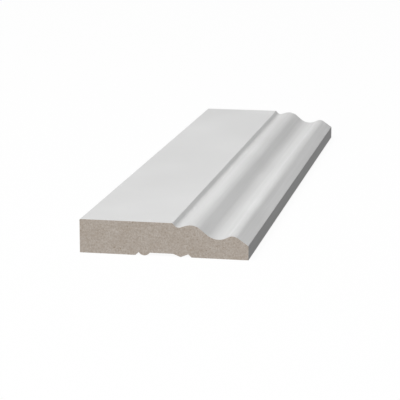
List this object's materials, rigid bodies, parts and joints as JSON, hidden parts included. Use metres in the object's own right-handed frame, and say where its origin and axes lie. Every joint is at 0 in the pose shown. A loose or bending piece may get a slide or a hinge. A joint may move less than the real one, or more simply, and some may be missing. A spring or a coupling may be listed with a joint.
{
  "type": "skirting board",
  "caption": "White coated fibreboard skirting board with a flat lower face, an ogee moulding of beads and coves up to its top edge, and a clip groove along its back.",
  "frame": {"origin": "middle of the back, on the plane of the two strips that the board lies on", "axes": "+X across the board from the floor edge to the top edge, +Y along its length, +Z out of the moulded face"},
  "size_m": [0.095, 0.38, 0.019],
  "materials": {
    "coated_fibreboard": "satin white coating on fibreboard, bare where it is cut"
  },
  "bodies": {
    "root": {"skirting_board": "coated_fibreboard"}
  },
  "joints": []
}
